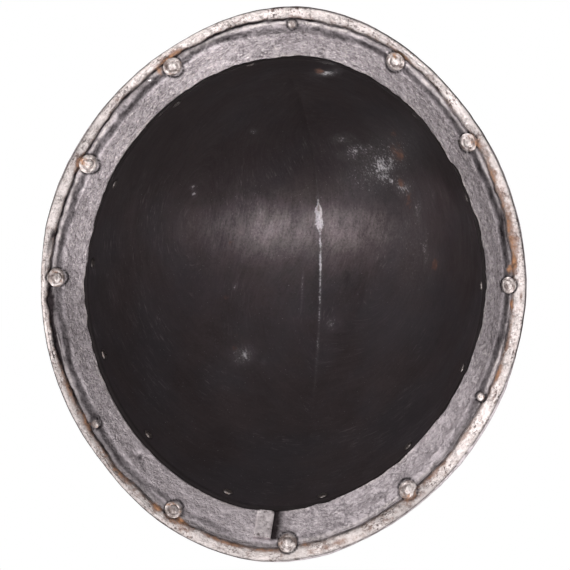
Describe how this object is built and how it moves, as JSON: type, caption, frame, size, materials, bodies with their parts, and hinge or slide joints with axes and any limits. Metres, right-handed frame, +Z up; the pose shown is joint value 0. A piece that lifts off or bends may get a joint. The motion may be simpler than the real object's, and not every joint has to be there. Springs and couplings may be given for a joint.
{
  "type": "musketeer helmet",
  "caption": "Pear-shaped iron helmet with a keeled crown, a short stalk and a flaring brim with a turned edge; open from below.",
  "frame": {"origin": "middle of the box round the helmet, on the plane that its brim stands on", "axes": "+Z up through the crown, +Y to the rear, -Y to the front, +X to the wearer's left"},
  "size_m": [0.2398, 0.2714, 0.1832],
  "materials": {
    "skull_plate": "aged, nearly black inside",
    "brim_plate": "matte, hammered, bright at the turned edge",
    "strap_iron": "matte, hammered",
    "base_rivet_iron": "aged iron",
    "brim_rivet_iron": "worn iron",
    "rove_iron": "worn iron"
  },
  "bodies": {
    "root": {"skull": "skull_plate", "brim": "brim_plate", "brim_strap": "strap_iron", "base_rivet_01": "base_rivet_iron", "base_rivet_02": "base_rivet_iron", "base_rivet_03": "base_rivet_iron", "base_rivet_04": "base_rivet_iron", "base_rivet_05": "base_rivet_iron", "base_rivet_06": "base_rivet_iron", "base_rivet_07": "base_rivet_iron", "base_rivet_08": "base_rivet_iron", "base_rivet_09": "base_rivet_iron", "base_rivet_10": "base_rivet_iron", "base_rivet_11": "base_rivet_iron", "base_rivet_12": "base_rivet_iron", "base_rivet_13": "base_rivet_iron", "base_rivet_14": "base_rivet_iron", "brim_rivet_01": "brim_rivet_iron", "brim_rivet_02": "brim_rivet_iron", "brim_rivet_03": "brim_rivet_iron", "brim_rivet_04": "brim_rivet_iron", "brim_rivet_05": "brim_rivet_iron", "brim_rivet_06": "brim_rivet_iron", "brim_rivet_07": "brim_rivet_iron", "brim_rivet_08": "brim_rivet_iron", "brim_rivet_09": "brim_rivet_iron", "brim_rivet_10": "brim_rivet_iron", "brim_rivet_11": "brim_rivet_iron", "brim_rivet_12": "brim_rivet_iron", "rove_01": "rove_iron", "rove_02": "rove_iron", "rove_03": "rove_iron", "rove_05": "rove_iron", "rove_06": "rove_iron", "rove_07": "rove_iron", "rove_09": "rove_iron", "rove_10": "rove_iron", "rove_11": "rove_iron"}
  },
  "joints": []
}
